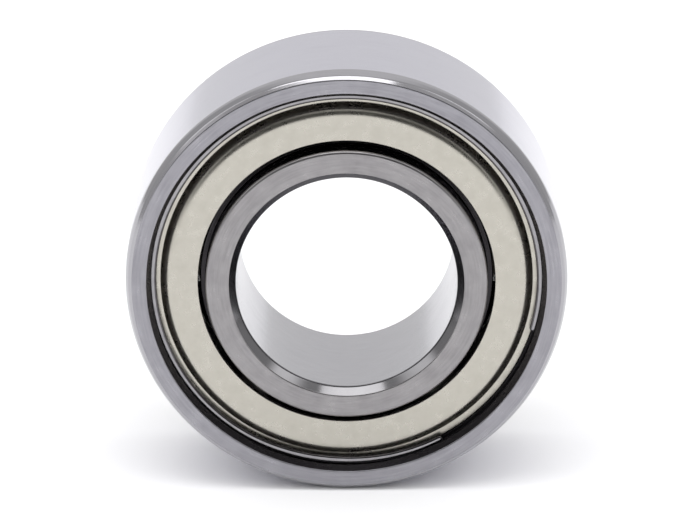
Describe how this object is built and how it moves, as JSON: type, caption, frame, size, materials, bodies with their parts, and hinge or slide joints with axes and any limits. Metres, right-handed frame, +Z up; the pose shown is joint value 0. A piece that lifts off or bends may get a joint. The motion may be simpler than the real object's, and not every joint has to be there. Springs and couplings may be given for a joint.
{
  "type": "ball bearing",
  "caption": "Miniature deep-groove ball bearing, shielded on both sides by pressed metal shields that wire snap rings hold in the outer ring.",
  "frame": {"origin": "centre of the bearing, on its axis of rotation and halfway through its width", "axes": "+Y along the axis of rotation, from the front face to the rear face; +Z up, with the bearing standing on its rim"},
  "size_m": [0.0126, 0.0048, 0.0126],
  "materials": {
    "outer_ring": "ground bearing steel",
    "inner_ring": "ground bearing steel",
    "front_shield": "satin, warm grey",
    "rear_shield": "satin, warm grey",
    "front_snap_ring": "dark bright-drawn spring wire",
    "rear_snap_ring": "dark bright-drawn spring wire",
    "cage": "pressed strip, satin",
    "balls": "polished bearing steel"
  },
  "bodies": {
    "outer": {"outer_ring": "outer_ring", "front_shield": "front_shield", "rear_shield": "rear_shield", "front_snap_ring": "front_snap_ring", "rear_snap_ring": "rear_snap_ring"},
    "inner": {"inner_ring": "inner_ring"},
    "cage": {"cage_front": "cage", "cage_rear": "cage"},
    "ball_01": {"ball_01": "balls"},
    "ball_02": {"ball_02": "balls"},
    "ball_03": {"ball_03": "balls"},
    "ball_04": {"ball_04": "balls"},
    "ball_05": {"ball_05": "balls"},
    "ball_06": {"ball_06": "balls"},
    "ball_07": {"ball_07": "balls"},
    "ball_08": {"ball_08": "balls"},
    "ball_09": {"ball_09": "balls"},
    "ball_10": {"ball_10": "balls"}
  },
  "joints": [
    {"name": "inner_ring_spin", "type": "hinge", "parent": "outer", "child": "inner", "pos_m": [0, 0, 0], "axis": [0, 1, 0], "continuous": true},
    {"name": "cage_orbit", "type": "hinge", "parent": "outer", "child": "cage", "pos_m": [0, 0, 0], "axis": [0, 1, 0], "continuous": true},
    {"name": "ball_01_spin", "type": "hinge", "parent": "cage", "child": "ball_01", "pos_m": [0, 0, 0.00476], "axis": [0, 1, 0], "continuous": true},
    {"name": "ball_02_spin", "type": "hinge", "parent": "cage", "child": "ball_02", "pos_m": [0.0028, 0, 0.00385], "axis": [0, 1, 0], "continuous": true},
    {"name": "ball_03_spin", "type": "hinge", "parent": "cage", "child": "ball_03", "pos_m": [0.00453, 0, 0.00147], "axis": [0, 1, 0], "continuous": true},
    {"name": "ball_04_spin", "type": "hinge", "parent": "cage", "child": "ball_04", "pos_m": [0.00453, 0, -0.00147], "axis": [0, 1, 0], "continuous": true},
    {"name": "ball_05_spin", "type": "hinge", "parent": "cage", "child": "ball_05", "pos_m": [0.0028, 0, -0.00385], "axis": [0, 1, 0], "continuous": true},
    {"name": "ball_06_spin", "type": "hinge", "parent": "cage", "child": "ball_06", "pos_m": [0, 0, -0.00476], "axis": [0, 1, 0], "continuous": true},
    {"name": "ball_07_spin", "type": "hinge", "parent": "cage", "child": "ball_07", "pos_m": [-0.0028, 0, -0.00385], "axis": [0, 1, 0], "continuous": true},
    {"name": "ball_08_spin", "type": "hinge", "parent": "cage", "child": "ball_08", "pos_m": [-0.00453, 0, -0.00147], "axis": [0, 1, 0], "continuous": true},
    {"name": "ball_09_spin", "type": "hinge", "parent": "cage", "child": "ball_09", "pos_m": [-0.00453, 0, 0.00147], "axis": [0, 1, 0], "continuous": true},
    {"name": "ball_10_spin", "type": "hinge", "parent": "cage", "child": "ball_10", "pos_m": [-0.0028, 0, 0.00385], "axis": [0, 1, 0], "continuous": true}
  ],
  "couplings": [
    {"joint": "cage_orbit", "follows": "inner_ring_spin", "ratio": 0.41667},
    {"joint": "ball_01_spin", "follows": "inner_ring_spin", "ratio": -2.9167},
    {"joint": "ball_02_spin", "follows": "inner_ring_spin", "ratio": -2.9167},
    {"joint": "ball_03_spin", "follows": "inner_ring_spin", "ratio": -2.9167},
    {"joint": "ball_04_spin", "follows": "inner_ring_spin", "ratio": -2.9167},
    {"joint": "ball_05_spin", "follows": "inner_ring_spin", "ratio": -2.9167},
    {"joint": "ball_06_spin", "follows": "inner_ring_spin", "ratio": -2.9167},
    {"joint": "ball_07_spin", "follows": "inner_ring_spin", "ratio": -2.9167},
    {"joint": "ball_08_spin", "follows": "inner_ring_spin", "ratio": -2.9167},
    {"joint": "ball_09_spin", "follows": "inner_ring_spin", "ratio": -2.9167},
    {"joint": "ball_10_spin", "follows": "inner_ring_spin", "ratio": -2.9167}
  ]
}
